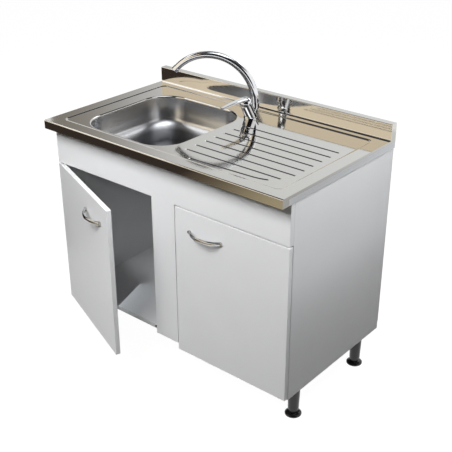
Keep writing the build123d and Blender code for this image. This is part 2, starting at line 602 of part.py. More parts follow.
for side, sign in SIDES:
    opened = LEFT_OPEN if side == "left" else 0.0
    leaf = leaf_plane(sign, opened)
    face = -sign
    back_y = face * BACK_OFF
    front_y = face * FRONT_OFF
    handle_back = on_leaf(leaf, HANDLE_OFF, back_y, HANDLE_Z, face)
    handle_front = on_leaf(leaf, HANDLE_OFF, front_y, HANDLE_Z, face)

    with BuildPart(leaf) as door:
        with Locations(((OUTER_EDGE + FREE_EDGE) / 2, (back_y + front_y) / 2,
                        (DOOR_BOTTOM_Z + DOOR_TOP_Z) / 2)):
            Box(FREE_EDGE - OUTER_EDGE, DOOR_T, DOOR_TOP_Z - DOOR_BOTTOM_Z)
        chamfer(door.edges(), BAND_CHAMFER)
        for _, level in HINGE_LEVELS:
            with BuildSketch(on_leaf(leaf, CUP_OFF, back_y, level, face)):
                Circle(CUP_R + CUP_BORE_PLAY)
            extrude(amount=-CUP_DEPTH - 0.3, mode=Mode.SUBTRACT)
        with BuildSketch(handle_back):
            with GridLocations(HANDLE_PITCH, 1, 2, 1):
                Circle(HANDLE_SCREW_R + SCREW_PLAY)
        extrude(amount=-DOOR_T, mode=Mode.SUBTRACT)
    door.part.label = f"door_{side}"
    export_step(door.part, f"parts/door_{side}.step")

    # A bow handle: two round feet and an oval bar that arches out from the door.
    with BuildPart() as handle:
        with BuildLine(leaf.offset(HANDLE_Z)):
            bow = ThreePointArc((HANDLE_OFF - HANDLE_PITCH / 2, front_y - face * HANDLE_END_REACH),
                                (HANDLE_OFF, front_y - face * HANDLE_REACH),
                                (HANDLE_OFF + HANDLE_PITCH / 2, front_y - face * HANDLE_END_REACH))
        with BuildSketch(Plane(origin=bow @ 0, x_dir=(0, 0, 1), z_dir=bow % 0)):
            Ellipse(HANDLE_BAR_H, HANDLE_BAR_T)
        sweep()
        with BuildSketch(handle_front):
            with GridLocations(HANDLE_PITCH, 1, 2, 1):
                Circle(HANDLE_FOOT_R)
        extrude(amount=-HANDLE_FOOT_H, taper=4)
        with BuildSketch(handle_front):
            Rectangle(HANDLE_PITCH + 40, 40)
        extrude(amount=DOOR_T, mode=Mode.SUBTRACT)
        with BuildSketch(handle_front):
            with GridLocations(HANDLE_PITCH, 1, 2, 1):
                Circle(HANDLE_SCREW_R + SCREW_PLAY)
        extrude(amount=-HANDLE_FOOT_H + 1, mode=Mode.SUBTRACT)
    handle.part.label = f"handle_{side}"
    export_step(handle.part, f"parts/handle_{side}.step")

    with BuildPart() as handle_screws:
        with BuildSketch(handle_back):
            with GridLocations(HANDLE_PITCH, 1, 2, 1):
                Circle(SCREW_HEAD_R)
        extrude(amount=SCREW_HEAD_H)
        with BuildSketch(handle_back):
            with GridLocations(HANDLE_PITCH, 1, 2, 1):
                Circle(HANDLE_SCREW_R)
        extrude(amount=-DOOR_T - HANDLE_FOOT_H + 2)
    handle_screws.part.label = f"handle_screws_{side}"
    export_step(handle_screws.part, f"parts/handle_screws_{side}.step")

    for level_name, level in HINGE_LEVELS:
        # The cup fills its bore in the door and carries the outer hinge pin across its mouth.
        cup_plane = on_leaf(leaf, CUP_OFF, back_y, level, face)
        with BuildPart(leaf) as hinge_cup:
            with BuildSketch(cup_plane):
                Circle(CUP_R)
            extrude(amount=-CUP_DEPTH)
            with BuildSketch(cup_plane):
                Circle(CUP_R - CUP_WALL)
            extrude(amount=-CUP_DEPTH + CUP_WALL, mode=Mode.SUBTRACT)
            with Locations((0, 0, level)):
                Cylinder(PIN_R, 2 * CUP_R)
            with BuildSketch(cup_plane):
                Circle(CUP_R)
            extrude(amount=-CUP_DEPTH, mode=Mode.INTERSECT)
            with BuildSketch(cup_plane):
                RectangleRounded(CUP_FLANGE_W, CUP_FLANGE_H, 6)
                Circle(CUP_R - CUP_WALL, mode=Mode.SUBTRACT)
            extrude(amount=CUP_FLANGE_T)
        hinge_cup.part.label = f"hinge_cup_{side}_{level_name}"
        export_step(hinge_cup.part, f"parts/hinge_cup_{side}_{level_name}.step")

        # The link is a bent plate that reaches round the door's edge from pin to pin.
        link_plane = Plane(origin=(sign * ARM_PIN_X, ARM_PIN_Y, level), z_dir=(0, 0, 1),
                           x_dir=(cos(radians(link_heading(sign, opened))),
                                  sin(radians(link_heading(sign, opened))), 0))
        with BuildPart() as hinge_link:
            with BuildSketch(link_plane):
                with BuildLine():
                    Polyline((0, 0), (LINK_KNEE, face * LINK_BULGE), (LINK_LENGTH - 1, face * LINK_BULGE),
                             (LINK_LENGTH, 0))
                trace(line_width=LINK_T)
                with Locations((0, 0), (LINK_LENGTH, 0)):
                    Circle(EYE_R)
                with Locations((0, 0), (LINK_LENGTH, 0)):
                    Circle(PIN_R + PIN_PLAY, mode=Mode.SUBTRACT)
            extrude(amount=LINK_W / 2, both=True)
        hinge_link.part.label = f"hinge_link_{side}_{level_name}"
        export_step(hinge_link.part, f"parts/hinge_link_{side}_{level_name}.step")

        # The arm lies over its mounting plate and holds the inner pin between two cheeks.
        arm_plane = Plane(origin=(sign * INNER_X, 0, level), x_dir=(-sign, 0, 0), z_dir=(0, 0, 1))
        with BuildPart(arm_plane) as hinge_arm:
            with BuildSketch(arm_plane):
                with BuildLine():
                    Polyline((ARM_FOOT_D, face * ARM_REAR_Y), (ARM_REAR_D, face * ARM_REAR_Y),
                             (ARM_NECK_D, face * ARM_NECK_Y), (ARM_D + 4.1, face * (ARM_PIN_Y + 1)),
                             (ARM_D, face * ARM_PIN_Y), (ARM_D - 4, face * (ARM_PIN_Y - 0.5)),
                             (ARM_FOOT_D, face * (ARM_NECK_Y - 2)), close=True)
                make_face()
                with Locations((ARM_D, face * ARM_PIN_Y)):
                    Circle(CHEEK_R)
            extrude(amount=ARM_W / 2, both=True)
            with BuildSketch(arm_plane):
                with Locations((ARM_D - 4, face * (ARM_PIN_Y + 0.5))):
                    Rectangle(30, 20)
            extrude(amount=LINK_W / 2 + 0.3, both=True, mode=Mode.SUBTRACT)
            with Locations((ARM_D, face * ARM_PIN_Y, 0)):
                Cylinder(PIN_R, ARM_W - 1)
        hinge_arm.part.label = f"hinge_arm_{side}_{level_name}"
        export_step(hinge_arm.part, f"parts/hinge_arm_{side}_{level_name}.step")

        with BuildPart() as hinge_plate:
            with BuildSketch(inner_face(sign, level)):
                with Locations((PLATE_SCREW_Y, 0)):
                    RectangleRounded(PLATE_W, PLATE_H, 6)
            extrude(amount=PLATE_T)
            with BuildSketch(inner_face(sign, level)):
                with Locations((RAIL_Y, 0)):
                    RectangleRounded(RAIL_LENGTH, RAIL_W, 2)
            extrude(amount=RAIL_T)
            with BuildSketch(inner_face(sign, level)):
                with Locations((PLATE_SCREW_Y, 0)):
                    with GridLocations(1, PLATE_SCREW_GAP, 1, 2):
                        Circle(PLATE_SCREW_R + SCREW_PLAY)
            extrude(amount=PLATE_T, mode=Mode.SUBTRACT)
        hinge_plate.part.label = f"hinge_plate_{side}_{level_name}"
        export_step(hinge_plate.part, f"parts/hinge_plate_{side}_{level_name}.step")

with BuildPart() as hinge_plate_screws:
    for _, sign in SIDES:
        for _, level in HINGE_LEVELS:
            with BuildSketch(inner_face(sign, level).offset(PLATE_T)):
                with Locations((PLATE_SCREW_Y, 0)):
                    with GridLocations(1, PLATE_SCREW_GAP, 1, 2):
                        Circle(SCREW_HEAD_R)
            extrude(amount=PLATE_SCREW_HEAD_H, taper=30)
            with BuildSketch(inner_face(sign, level).offset(PLATE_T)):
                with Locations((PLATE_SCREW_Y, 0)):
                    with GridLocations(1, PLATE_SCREW_GAP, 1, 2):
                        Circle(PLATE_SCREW_R)
            extrude(amount=-PLATE_SCREW_LENGTH)
hinge_plate_screws.part.label = "hinge_plate_screws"
export_step(hinge_plate_screws.part, "parts/hinge_plate_screws.step")

BUMPER_X = (70.0, 430.0)
BUMPER_R = 4.0
with BuildPart() as door_bumpers:
    with BuildSketch(Plane.XZ.offset(-PANEL_FRONT_Y)):
        with Locations(*[(sign * x, FLOOR_Z + BOARD / 2) for x in BUMPER_X for _, sign in SIDES]):
            Circle(BUMPER_R)
    extrude(amount=DOOR_GAP - 0.3)
door_bumpers.part.label = "door_bumpers"
export_step(door_bumpers.part, "parts/door_bumpers.step")

# ============================================================================================
# Tap. The housing leans forward out of the base; the spout turns in a boss behind it. The dome
# over the cartridge is the ball on which the lever's cap turns and tips.
# ============================================================================================
SOLE_Z = FIELD_Z
HOUSING_RISE = 8.0
RING_H = 4.0
RING_R = 24.5
NECK_R = 22.0
BOSS_R = 15.5
BOSS_TOP_Z = SOLE_Z + 42
BOSS_RIM_H = 10.0
SPOUT_Y = TAP_Y + SPOUT_OFFSET
BEND_Z = SOLE_Z + 47.5
CAVITY_R = 17.2
CAVITY_DEPTH = 34.0
CARTRIDGE_R = 17.0
CARTRIDGE_LENGTH = 33.0
CARTRIDGE_MOUTH_R = 12.0
CARTRIDGE_MOUTH_DEPTH = 14.0
TURRET_H = 8.0
FORK_OFF = 5.6
DOME_SLOT_R = 9.6
DOME_SLOT_SETBACK = 12.5
LEVER_STEM_R = 3.2
DOME_WALL = 2.5
CAP_PLAY = 0.6
CAP_WALL = 3.0
STEM_PIN_R = 1.2
STEM_HUB_R = 3.6
SPIGOT_LENGTH = 22.0
lean = radians(TAP_LEAN)
housing = Plane(origin=(TAP_X, TAP_Y, SOLE_Z + HOUSING_RISE), x_dir=(1, 0, 0),
                z_dir=(0, -sin(lean), cos(lean)))
ball = housing.offset(HOUSING_LENGTH)
BALL_X, BALL_Y, BALL_Z = ball.origin.X, ball.origin.Y, ball.origin.Z

with BuildPart() as tap_base_ring:
    with BuildSketch(Plane.XY.offset(SOLE_Z)):
        with Locations((TAP_X, TAP_Y)):
            Circle(RING_R)
            Circle(TAP_HOLE_R - 0.5, mode=Mode.SUBTRACT)
    extrude(amount=RING_H)
    chamfer(tap_base_ring.faces().sort_by(Axis.Z)[-1].edges().sort_by(SortBy.LENGTH)[-1], 1.2)
tap_base_ring.part.label = "tap_base_ring"
export_step(tap_base_ring.part, "parts/tap_base_ring.step")

INLET_R = 4.5
INLET_DEPTH = 14.0
INLET_GAP = 14.0
INLET_Y = TAP_Y - 6
STUD_R = 4.0
STUD_Y = TAP_Y + 11
SHANK_Z = SOLE_Z - 0.6
with BuildPart() as tap_body:
    with BuildSketch(Plane.XY.offset(SOLE_Z + RING_H)):
        with Locations((TAP_X, TAP_Y)):
            Circle(NECK_R)
    with BuildSketch(ball):
        Circle(HOUSING_R)
    loft()
    with BuildSketch(Plane.XY.offset(SOLE_Z + HOUSING_RISE)):
        with Locations((TAP_X, TAP_Y + 8)):
            Circle(BOSS_R - 2)
    with BuildSketch(Plane.XY.offset(BOSS_TOP_Z - BOSS_RIM_H)):
        with Locations((TAP_X, SPOUT_Y)):
            Circle(BOSS_R)
    loft()
    with BuildSketch(Plane.XY.offset(BOSS_TOP_Z - BOSS_RIM_H)):
        with Locations((TAP_X, SPOUT_Y)):
            Circle(BOSS_R)
    extrude(amount=BOSS_RIM_H)
    with BuildSketch(Plane.XY.offset(SHANK_Z)):
        with Locations((TAP_X, TAP_Y)):
            Circle(TAP_HOLE_R - 1)
    extrude(amount=SOLE_Z + RING_H - SHANK_Z)
    with BuildSketch(ball):
        Circle(CAVITY_R)
    extrude(amount=-CAVITY_DEPTH, mode=Mode.SUBTRACT)
    with BuildSketch(Plane.XY.offset(BOSS_TOP_Z)):
        with Locations((TAP_X, SPOUT_Y)):
            Circle(SPIGOT_R + PIN_PLAY)
    extrude(amount=-SPIGOT_LENGTH - 2, mode=Mode.SUBTRACT)
    with BuildSketch(Plane.XY.offset(SHANK_Z)):
        with Locations((TAP_X, INLET_Y)):
            with GridLocations(INLET_GAP, 1, 2, 1):
                Circle(INLET_R)
        with Locations((TAP_X, STUD_Y)):
            Circle(STUD_R)
    extrude(amount=INLET_DEPTH, mode=Mode.SUBTRACT)
tap_body.part.label = "tap_body"
export_step(tap_body.part, "parts/tap_body.step")

with BuildPart() as tap_cartridge:
    with BuildSketch(ball):
        Circle(CARTRIDGE_R)
    extrude(amount=-CARTRIDGE_LENGTH)
    with BuildSketch(ball):
        Circle(CARTRIDGE_MOUTH_R)
    extrude(amount=-CARTRIDGE_MOUTH_DEPTH, mode=Mode.SUBTRACT)
tap_cartridge.part.label = "tap_cartridge"
export_step(tap_cartridge.part, "parts/tap_cartridge.step")

# The turret turns in the cartridge and holds the lever's stem on a cross pin at the ball centre.
with BuildPart(ball) as cartridge_turret:
    with BuildSketch(ball.offset(0.3 - CARTRIDGE_MOUTH_DEPTH)):
        Circle(CARTRIDGE_MOUTH_R - 0.3)
    extrude(amount=TURRET_H)
    with Locations((-FORK_OFF, 0, -1), (FORK_OFF, 0, -1)):
        Box(3, TURRET_H, 10)
    with Locations((0, 0, 0)):
        Cylinder(STEM_PIN_R, 2 * FORK_OFF + 1.8, rotation=(0, 90, 0))
cartridge_turret.part.label = "cartridge_turret"
export_step(cartridge_turret.part, "parts/cartridge_turret.step")

# The dome's opening is set back, because the stem only tips to the rear of the housing's axis.
with BuildPart(ball) as cartridge_dome:
    Sphere(DOME_R)
    Sphere(DOME_R - DOME_WALL, mode=Mode.SUBTRACT)
    with BuildSketch(ball):
        Circle(40)
    extrude(amount=-40, mode=Mode.SUBTRACT)
    with BuildSketch(ball.rotated((-DOME_SLOT_SETBACK, 0, 0))):
        Circle(DOME_SLOT_R)
    extrude(amount=DOME_R + 2, mode=Mode.SUBTRACT)
cartridge_dome.part.label = "cartridge_dome"
export_step(cartridge_dome.part, "parts/cartridge_dome.step")

with BuildPart(ball) as lever_stem:
    with BuildSketch(ball):
        Circle(LEVER_STEM_R)
    extrude(amount=DOME_R + CAP_PLAY + 2)
    with BuildSketch(Plane(origin=ball.origin, x_dir=ball.y_dir, z_dir=(1, 0, 0))):
        Circle(STEM_HUB_R)
    extrude(amount=STEM_HUB_R, both=True)
    with BuildSketch(Plane(origin=ball.origin, x_dir=ball.y_dir, z_dir=(1, 0, 0))):
        Circle(STEM_PIN_R + PIN_PLAY)
    extrude(amount=STEM_HUB_R + 1, both=True, mode=Mode.SUBTRACT)
lever_stem.part.label = "lever_stem"
export_step(lever_stem.part, "parts/lever_stem.step")

# Cap and paddle in one casting. The paddle runs level towards the user and thins to its tip.
PADDLE = ((8.0, 15.0, 27.0, 12.0),
          (45.0, 17.0, 22.0, 8.5),
          (90.0, 16.0, 18.0, 6.0),
          (LEVER_REACH, 14.0, 14.0, 4.4))
CAP_ANGLE = 62.0
with BuildPart() as lever:
    for ahead, rise, width, thickness in PADDLE:
        with BuildSketch(Plane.XZ.offset(-BALL_Y + ahead)):
            with Locations((BALL_X, BALL_Z + rise)):
                RectangleRounded(width, thickness, thickness / 2 - 0.05)
    loft()
    with Locations((BALL_X, BALL_Y, BALL_Z)):
        Sphere(DOME_R + CAP_PLAY + CAP_WALL)
        Sphere(DOME_R + CAP_PLAY, mode=Mode.SUBTRACT)
    with BuildSketch(ball.offset((DOME_R + CAP_PLAY) * cos(radians(CAP_ANGLE)))):
        Circle(40)
    extrude(amount=-60, mode=Mode.SUBTRACT)
    with BuildSketch(ball):
        Circle(LEVER_STEM_R + 0.05)
    extrude(amount=DOME_R + CAP_PLAY + 2, mode=Mode.SUBTRACT)
lever.part.label = "lever"
export_step(lever.part, "parts/lever.step")

# Spout: spigot in the boss, short riser, then one long bend that narrows to the outlet.
heading = radians(SPOUT_HEADING)
bend_plane = Plane(origin=(TAP_X, SPOUT_Y, BEND_Z), x_dir=(cos(heading), sin(heading), 0),
                   z_dir=(sin(heading), -cos(heading), 0))
with BuildLine(bend_plane):
    bend = CenterArc((SPOUT_BEND_R, 0), SPOUT_BEND_R, 180, -SPOUT_TURN)


def bend_form(base_r, tip_r):
    """A round bar along the bend that narrows from one radius to the other."""
    with BuildPart() as bar:
        with BuildSketch(Plane(origin=bend @ 0, x_dir=bend_plane.z_dir, z_dir=bend % 0)):
            Circle(base_r)
        with BuildSketch(Plane(origin=bend @ 1, x_dir=bend_plane.z_dir, z_dir=bend % 1)):
            Circle(tip_r)
        sweep(path=bend, multisection=True)
    return bar.part


with BuildPart() as spout:
    add(bend_form(SPOUT_BASE_R, SPOUT_TIP_R))
    with BuildSketch(Plane.XY.offset(BOSS_TOP_Z + 0.3)):
        with Locations((TAP_X, SPOUT_Y)):
            Circle(SPOUT_BASE_R)
    extrude(amount=BEND_Z - BOSS_TOP_Z - 0.3)
    with BuildSketch(Plane.XY.offset(BOSS_TOP_Z + 0.3)):
        with Locations((TAP_X, SPOUT_Y)):
            Circle(SPIGOT_R)
    extrude(amount=-SPIGOT_LENGTH)
    add(bend_form(SPIGOT_R - SPOUT_WALL, SPOUT_TIP_R - SPOUT_WALL), mode=Mode.SUBTRACT)
    with BuildSketch(Plane.XY.offset(BEND_Z)):
        with Locations((TAP_X, SPOUT_Y)):
            Circle(SPIGOT_R - SPOUT_WALL)
    extrude(amount=-40, mode=Mode.SUBTRACT)
spout.part.label = "spout"
export_step(spout.part, "parts/spout.step")

AERATOR_LENGTH = 13.0
outlet = Plane(origin=bend @ 1, x_dir=bend_plane.z_dir, z_dir=bend % 1)
with BuildPart() as aerator:
    with BuildSketch(outlet):
        Circle(SPOUT_TIP_R + 1.2)
    extrude(amount=AERATOR_LENGTH)
    chamfer(aerator.edges(), 0.8)
    with BuildSketch(outlet.offset(AERATOR_LENGTH)):
        Circle(SPOUT_TIP_R - SPOUT_WALL)
    extrude(amount=-3, mode=Mode.SUBTRACT)
aerator.part.label = "aerator"
export_step(aerator.part, "parts/aerator.step")

COLLAR_H = 5.0
with BuildPart() as spout_collar:
    with BuildSketch(Plane.XY.offset(BOSS_TOP_Z)):
        with Locations((TAP_X, SPOUT_Y)):
            Circle(BOSS_R)
            Circle(SPOUT_BASE_R + 0.3, mode=Mode.SUBTRACT)
    extrude(amount=COLLAR_H)
spout_collar.part.label = "spout_collar"
export_step(spout_collar.part, "parts/spout_collar.step")

# Under the deck: a horseshoe seal and clamp plate, drawn up by one stud and its nut.
TAP_SEAL_T = 3.0
CLAMP_T = 2.0
SEAL_UNDER_Z = FIELD_UNDER_Z - TAP_SEAL_T
CLAMP_UNDER_Z = SEAL_UNDER_Z - CLAMP_T
CLAMP_R = 24.0
THROAT_R = 12.5
STUD_TAIL = 24.0
for name, top_z, thick in (("tap_seal", FIELD_UNDER_Z, TAP_SEAL_T),
                           ("tap_clamp_plate", SEAL_UNDER_Z, CLAMP_T)):
    with BuildPart() as horseshoe:
        with BuildSketch(Plane.XY.offset(top_z)):
            with Locations((TAP_X, TAP_Y)):
                Circle(CLAMP_R)
            with Locations((TAP_X, INLET_Y - 2)):
                Circle(THROAT_R, mode=Mode.SUBTRACT)
            with Locations((TAP_X, INLET_Y - 22)):
                Rectangle(2 * THROAT_R, 40, mode=Mode.SUBTRACT)
            with Locations((TAP_X, STUD_Y)):
                Circle(STUD_R + 0.2, mode=Mode.SUBTRACT)
        extrude(amount=-thick)
    horseshoe.part.label = name
    export_step(horseshoe.part, f"parts/{name}.step")

NUT_H = 6.5
NUT_R = 7.0
with BuildPart() as tap_nut:
    with BuildSketch(Plane.XY.offset(CLAMP_UNDER_Z)):
        with Locations((TAP_X, STUD_Y)):
            RegularPolygon(NUT_R, 6)
            Circle(STUD_R + SCREW_PLAY, mode=Mode.SUBTRACT)
    extrude(amount=-NUT_H)
tap_nut.part.label = "tap_nut"
export_step(tap_nut.part, "parts/tap_nut.step")

with BuildPart() as tap_stud:
    with BuildSketch(Plane.XY.offset(CLAMP_UNDER_Z - STUD_TAIL)):
        with Locations((TAP_X, STUD_Y)):
            Circle(STUD_R - 0.05)
    extrude(amount=SHANK_Z + INLET_DEPTH - 1 - CLAMP_UNDER_Z + STUD_TAIL)
tap_stud.part.label = "tap_stud"
export_step(tap_stud.part, "parts/tap_stud.step")
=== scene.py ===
import json
import math

import bpy
from mathutils import Matrix, Vector

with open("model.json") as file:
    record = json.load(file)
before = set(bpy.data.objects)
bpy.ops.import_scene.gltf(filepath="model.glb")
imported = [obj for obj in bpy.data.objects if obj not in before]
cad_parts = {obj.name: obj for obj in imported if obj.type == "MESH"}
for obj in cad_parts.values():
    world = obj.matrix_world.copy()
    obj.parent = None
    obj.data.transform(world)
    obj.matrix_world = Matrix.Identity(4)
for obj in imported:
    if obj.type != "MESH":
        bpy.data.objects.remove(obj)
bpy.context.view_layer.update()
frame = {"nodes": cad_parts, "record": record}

nodes = frame["nodes"]


scene = bpy.context.scene
scene.view_settings.view_transform = "Standard"


def aimed(place, direction):
    """The matrix of a camera or lamp at a place, looking in a direction with its top upwards."""
    turn = Vector(direction).to_track_quat("-Z", "Y").to_matrix().to_4x4()
    return Matrix.Translation(place) @ turn


# ---- Camera: the photograph's viewpoint, fitted to its corners and edges --------------------
IMAGE_SIDE_PX = 452.0
FOCAL_LENGTH_PX = 863.56
SENSOR_WIDTH_MM = 36.0
CAMERA_PLACE = (1.74344, -2.02264, 1.83543)
CAMERA_AZIMUTH = math.radians(39.979)
CAMERA_ELEVATION = math.radians(26.663)
CAMERA_ROLL = math.radians(-0.058)
CAMERA_NEAREST = 0.05
CAMERA_FARTHEST = 60.0


def make_camera():
    data = bpy.data.cameras.new("camera")
    data.sensor_width = SENSOR_WIDTH_MM
    data.lens = FOCAL_LENGTH_PX / IMAGE_SIDE_PX * SENSOR_WIDTH_MM
    data.clip_start = CAMERA_NEAREST
    data.clip_end = CAMERA_FARTHEST
    look = (-math.sin(CAMERA_AZIMUTH) * math.cos(CAMERA_ELEVATION),
            math.cos(CAMERA_AZIMUTH) * math.cos(CAMERA_ELEVATION),
            -math.sin(CAMERA_ELEVATION))
    camera = bpy.data.objects.new("camera", data)
    scene.collection.objects.link(camera)
    camera.matrix_world = aimed(CAMERA_PLACE, look) @ Matrix.Rotation(CAMERA_ROLL, 4, "Z")
    return camera


scene.camera = make_camera()


# ---- Material helpers -------------------------------------------------------------------------
# The Mix node has one pair of sockets for each type of data; these are the colour ones.
MIX_COLOR_A = 6
MIX_COLOR_B = 7
MIX_COLOR_RESULT = 2


class Shader:
    """A Principled material with short ways to add and join nodes."""

    def __init__(self, name):
        self.material = bpy.data.materials.new(name)
        self.material.use_nodes = True
        self.tree = self.material.node_tree
        self.out = self.tree.nodes["Material Output"]
        self.bsdf = self.tree.nodes["Principled BSDF"]
        self.position = self.add("ShaderNodeTexCoord").outputs["Object"]

    def add(self, kind, **values):
        node = self.tree.nodes.new(kind)
        for key, value in values.items():
            setattr(node, key, value)
        return node

    def join(self, source, target):
        self.tree.links.new(source, target)

    def set(self, **values):
        """Sets sockets of the Principled shader that are the same all over the surface."""
        for key, value in values.items():
            self.bsdf.inputs[key.replace("_", " ")].default_value = value

    def feed(self, socket, value):
        """Joins a socket to another one, or sets it to a number or colour."""
        if isinstance(value, (int, float)):
            socket.default_value = value
        elif isinstance(value, tuple):
            socket.default_value = (*value, 1.0)
        else:
            self.join(value, socket)

    def noise(self, scale, detail=4.0, stretch=None):
        node = self.add("ShaderNodeTexNoise")
        node.inputs["Scale"].default_value = scale
        node.inputs["Detail"].default_value = detail
        place = self.position
        if stretch:
            mapping = self.add("ShaderNodeMapping")
            mapping.inputs["Scale"].default_value = stretch
            self.join(self.position, mapping.inputs["Vector"])
            place = mapping.outputs["Vector"]
        self.join(place, node.inputs["Vector"])
        return node.outputs["Fac"]

    def ramp(self, value, low, high, out_low=0.0, out_high=1.0, smooth=False):
        """Runs from out_low where the value is low to out_high where it is high."""
        node = self.add("ShaderNodeMapRange")
        if smooth:
            node.interpolation_type = "SMOOTHSTEP"
        node.inputs["From Min"].default_value = low
        node.inputs["From Max"].default_value = high
        node.inputs["To Min"].default_value = out_low
        node.inputs["To Max"].default_value = out_high
        self.join(value, node.inputs["Value"])
        return node.outputs["Result"]

    def spread(self, noise, low=0.0, high=1.0):
        """Spreads the middle of a noise, where most of it lies, from low to high."""
        return self.ramp(noise, 0.3, 0.7, low, high)

    def math(self, operation, first, second):
        node = self.add("ShaderNodeMath", operation=operation)
        self.feed(node.inputs[0], first)
        self.feed(node.inputs[1], second)
        return node.outputs["Value"]

    def times(self, first, second):
        return self.math("MULTIPLY", first, second)

    def mix(self, factor, first, second):
        """A colour between two, each of them a socket or three numbers."""
        node = self.add("ShaderNodeMix", data_type="RGBA")
        self.feed(node.inputs["Factor"], factor)
        self.feed(node.inputs[MIX_COLOR_A], first)
        self.feed(node.inputs[MIX_COLOR_B], second)
        return node.outputs[MIX_COLOR_RESULT]

    def xyz(self):
        node = self.add("ShaderNodeSeparateXYZ")
        self.join(self.position, node.inputs["Vector"])
        return node.outputs

    def bump(self, height, strength, distance):
        """Adds fine relief to the normal that the shader already has."""
        node = self.add("ShaderNodeBump")
        node.inputs["Strength"].default_value = strength
        node.inputs["Distance"].default_value = distance
        self.join(height, node.inputs["Height"])
        previous = self.bsdf.inputs["Normal"].links
        if previous:
            self.join(previous[0].from_socket, node.inputs["Normal"])
        self.join(node.outputs["Normal"], self.bsdf.inputs["Normal"])

    def lean(self, slope):
        """Turns the shading normal up by a slope."""
        rise = self.add("ShaderNodeCombineXYZ")
        self.join(slope, rise.inputs["Z"])
        total = self.add("ShaderNodeVectorMath", operation="ADD")
        self.join(self.add("ShaderNodeNewGeometry").outputs["Normal"], total.inputs[0])
        self.join(rise.outputs["Vector"], total.inputs[1])
        unit = self.add("ShaderNodeVectorMath", operation="NORMALIZE")
        self.join(total.outputs["Vector"], unit.inputs[0])
        self.join(unit.outputs["Vector"], self.bsdf.inputs["Normal"])

    def color(self, value):
        self.join(value, self.bsdf.inputs["Base Color"])

    def roughness(self, value):
        self.join(value, self.bsdf.inputs["Roughness"])


def shaded(tint, factor):
    return tuple(channel * factor for channel in tint)


def seen_directly(tree):
    """1 for what the camera sees itself, in gloss or through glass, and 0 for light on the object."""
    path = tree.nodes.new("ShaderNodeLightPath").outputs
    seen = path["Is Camera Ray"]
    for kind in ("Is Glossy Ray", "Is Transmission Ray"):
        either = tree.nodes.new("ShaderNodeMath")
        either.operation = "MAXIMUM"
        tree.links.new(seen, either.inputs[0])
        tree.links.new(path[kind], either.inputs[1])
        seen = either.outputs["Value"]
    return seen


# ---- Steel of the sink top ----------------------------------------------------------------------
# Where the finish and the shading of the pressed sheet change, in metres, and by how much. The
# photo's reflections show a leaning upstand, and a bowl with softer walls and a wider bend than
# the CAD has.
FRONT_LIP_Y = -0.27
UPSTAND_FOOT_Z = 0.8525
UPSTAND_CREST_Y = 0.2735
UPSTAND_LEANS_X = (-0.5, -0.3)
UPSTAND_LEAN = math.radians(6.0)
BOWL_FINISH_Z = (0.8455, 0.838)
BOWL_FRONT_WALL_Y = (-0.215, -0.185)
WALL_LEANS_Z = (0.830, 0.785)
WALL_SLOPE = 0.28
BEND_LEANS_Z = (0.765, 0.735)
BEND_SLOPE = 1.1
# Painted highlight: the bend of the bowl is tinted lighter, where overhead light shines in it.
BEND_PAINTED_HIGHLIGHT_Z = (0.775, 0.757)
BEND_PAINTED_HIGHLIGHT = (0.86, 0.87, 0.89)
# Painted dark reflection: the floor of the bowl is tinted darker.
BOWL_FLOOR_PAINTED_REFLECTION_Z = (0.742, 0.720)
BOWL_FLOOR_PAINTED_DARK_REFLECTION = (0.26, 0.26, 0.27)


def sink_steel():
    """Bright rolled steel on the deck, satin in the bowl, both with fine drawn lines."""
    s = Shader("sink_steel")
    s.set(Metallic=1.0)
    x, y, z = s.xyz()
    grain = s.noise(scale=140.0, detail=3.0, stretch=(1.0, 24.0, 24.0))
    lines = s.ramp(grain, 0.35, 0.65)
    broad = s.noise(scale=5.0, detail=2.0)

    # The front lip hangs below the bowl's edge, but it keeps the bright finish of the deck.
    behind_lip = s.math("GREATER_THAN", y, FRONT_LIP_Y)
    in_bowl = s.times(s.ramp(z, *BOWL_FINISH_Z, smooth=True), behind_lip)
    deck_tint = s.mix(lines, (0.66, 0.645, 0.615), (0.72, 0.71, 0.69))
    # Painted reflection: the bowl's walls are tinted cooler than the deck, over the steel's own drawn
    # lines.
    wall_grain_and_cool_reflection = s.mix(lines, (0.61, 0.62, 0.64), (0.68, 0.69, 0.715))
    # Painted highlight: a lighter tint in the bend of the bowl.
    tint_with_bend_highlight = s.mix(s.ramp(z, *BEND_PAINTED_HIGHLIGHT_Z, smooth=True), wall_grain_and_cool_reflection, BEND_PAINTED_HIGHLIGHT)
    # Painted dark reflection: a darker tint on the floor of the bowl, on top of the painted highlight in
    # the bend.
    bowl_tint_with_painted_light = s.mix(s.ramp(z, *BOWL_FLOOR_PAINTED_REFLECTION_Z, smooth=True), tint_with_bend_highlight, BOWL_FLOOR_PAINTED_DARK_REFLECTION)
    s.color(s.mix(in_bowl, deck_tint, bowl_tint_with_painted_light))

    deck_rough = s.times(s.spread(broad, 0.045, 0.075), s.math("SUBTRACT", 1.0, in_bowl))
    bowl_rough = s.times(s.spread(grain, 0.27, 0.33), in_bowl)
    s.roughness(s.math("ADD", deck_rough, bowl_rough))

    above_deck = s.math("GREATER_THAN", z, UPSTAND_FOOT_Z)
    on_upstand = s.times(above_deck, s.math("LESS_THAN", y, UPSTAND_CREST_Y))
    upstand_slope = s.times(on_upstand, s.ramp(x, *UPSTAND_LEANS_X, 0.0, math.tan(UPSTAND_LEAN)))
    wall_slope = s.ramp(z, *WALL_LEANS_Z, 0.0, WALL_SLOPE)
    bend_slope = s.ramp(z, *BEND_LEANS_Z, 0.0, BEND_SLOPE)
    off_front_wall = s.times(in_bowl, s.ramp(y, *BOWL_FRONT_WALL_Y))
    bowl_slope = s.times(off_front_wall, s.math("ADD", wall_slope, bend_slope))
    s.lean(s.math("ADD", upstand_slope, bowl_slope))
    s.bump(grain, strength=0.05, distance=0.0002)
    return s.material


